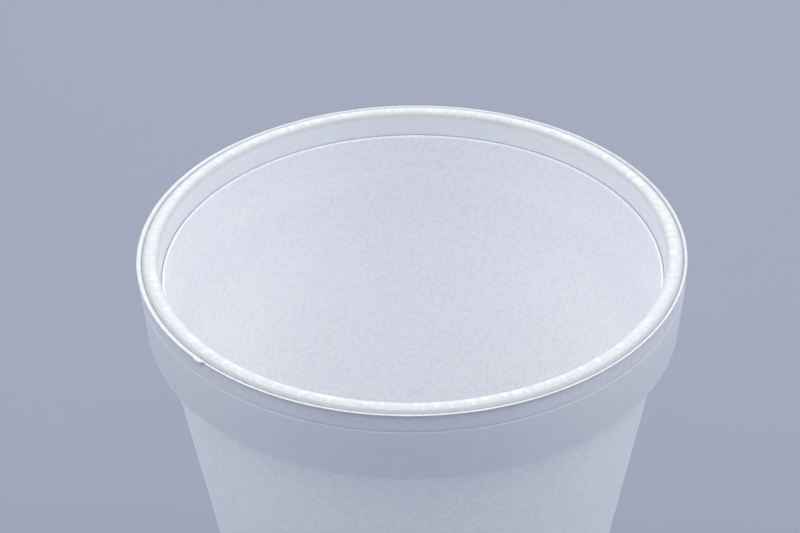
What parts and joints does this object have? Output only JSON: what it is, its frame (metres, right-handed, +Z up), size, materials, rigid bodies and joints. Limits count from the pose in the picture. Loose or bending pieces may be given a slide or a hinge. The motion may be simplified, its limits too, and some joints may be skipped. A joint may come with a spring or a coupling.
{
  "type": "foam cup",
  "caption": "Tapered moulded foam cup with a thick stepped collar, a rounded rim with a thin flash line, a stacking ledge inside and a recessed foot.",
  "frame": {"origin": "centre of the foot ring, on the surface the cup stands on", "axes": "+Z up along the cup's axis, out of the mouth; -Y faces the picture's viewer; the nick in the rim is at 217 degrees from +X"},
  "size_m": [0.0957, 0.0954, 0.119],
  "materials": {
    "foam": "white expanded polystyrene, fine moulded bead cells, low sheen"
  },
  "bodies": {
    "root": {"cup": "foam"}
  },
  "joints": []
}
